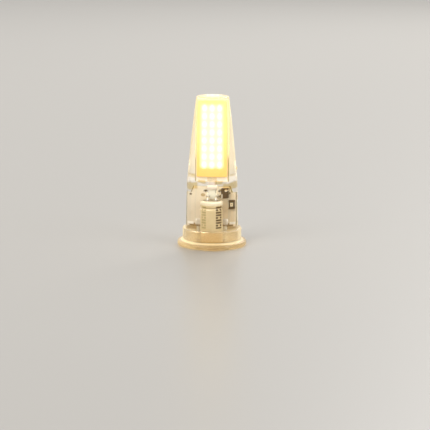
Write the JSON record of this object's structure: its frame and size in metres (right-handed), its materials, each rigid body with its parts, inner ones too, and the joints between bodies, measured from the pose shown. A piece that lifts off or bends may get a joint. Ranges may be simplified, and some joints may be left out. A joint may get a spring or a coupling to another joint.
{
  "type": "led capsule bulb",
  "caption": "Lit two-pin LED capsule bulb: clear tapered silicone body in a flanged base cup, with a light-emitting board over a driver board with its capacitor inside.",
  "frame": {"origin": "on the bulb's axis, in the flat underside of the base flange, which seats on the holder", "axes": "+Z to the tip of the body, the pins go to -Z and stand apart along X, and the boards' front faces -Y"},
  "size_m": [0.015, 0.0156, 0.0399],
  "materials": {
    "clear_silicone": "clear, glossy",
    "clear_plastic": "clear, slightly hazy",
    "white_board": "white solder mask",
    "phosphor": "yellow, lit from below",
    "light_dies": "lit",
    "solder": "bright, uneven",
    "can_aluminium": "satin",
    "printed_sleeve": "shrunk film with a plain polarity stripe",
    "bung_rubber": "matt",
    "tinned_wire": "tinned",
    "black_moulding": "moulded epoxy",
    "resistor_glaze": "dark glaze with a plain pale panel",
    "tan_ceramic": "fired ceramic",
    "pin_metal": "nickel plated"
  },
  "bodies": {
    "root": {"capsule_body": "clear_silicone", "base_cup": "clear_plastic", "emitter_board": "white_board", "driver_board": "white_board", "front_phosphor": "phosphor", "rear_phosphor": "phosphor", "front_dies": "light_dies", "rear_dies": "light_dies", "link_solder": "solder", "pin_solder": "solder", "lead_solder": "solder", "capacitor_can": "can_aluminium", "capacitor_sleeve": "printed_sleeve", "capacitor_bung": "bung_rubber", "capacitor_leads": "tinned_wire", "driver_chip": "black_moulding", "driver_chip_legs": "tinned_wire", "bridge_rectifier": "black_moulding", "rectifier_legs": "tinned_wire", "front_resistor": "resistor_glaze", "front_resistor_ends": "solder", "rear_resistor": "resistor_glaze", "rear_resistor_ends": "solder", "filter_capacitor": "tan_ceramic", "filter_capacitor_ends": "solder", "left_pin": "pin_metal", "right_pin": "pin_metal"}
  },
  "joints": []
}
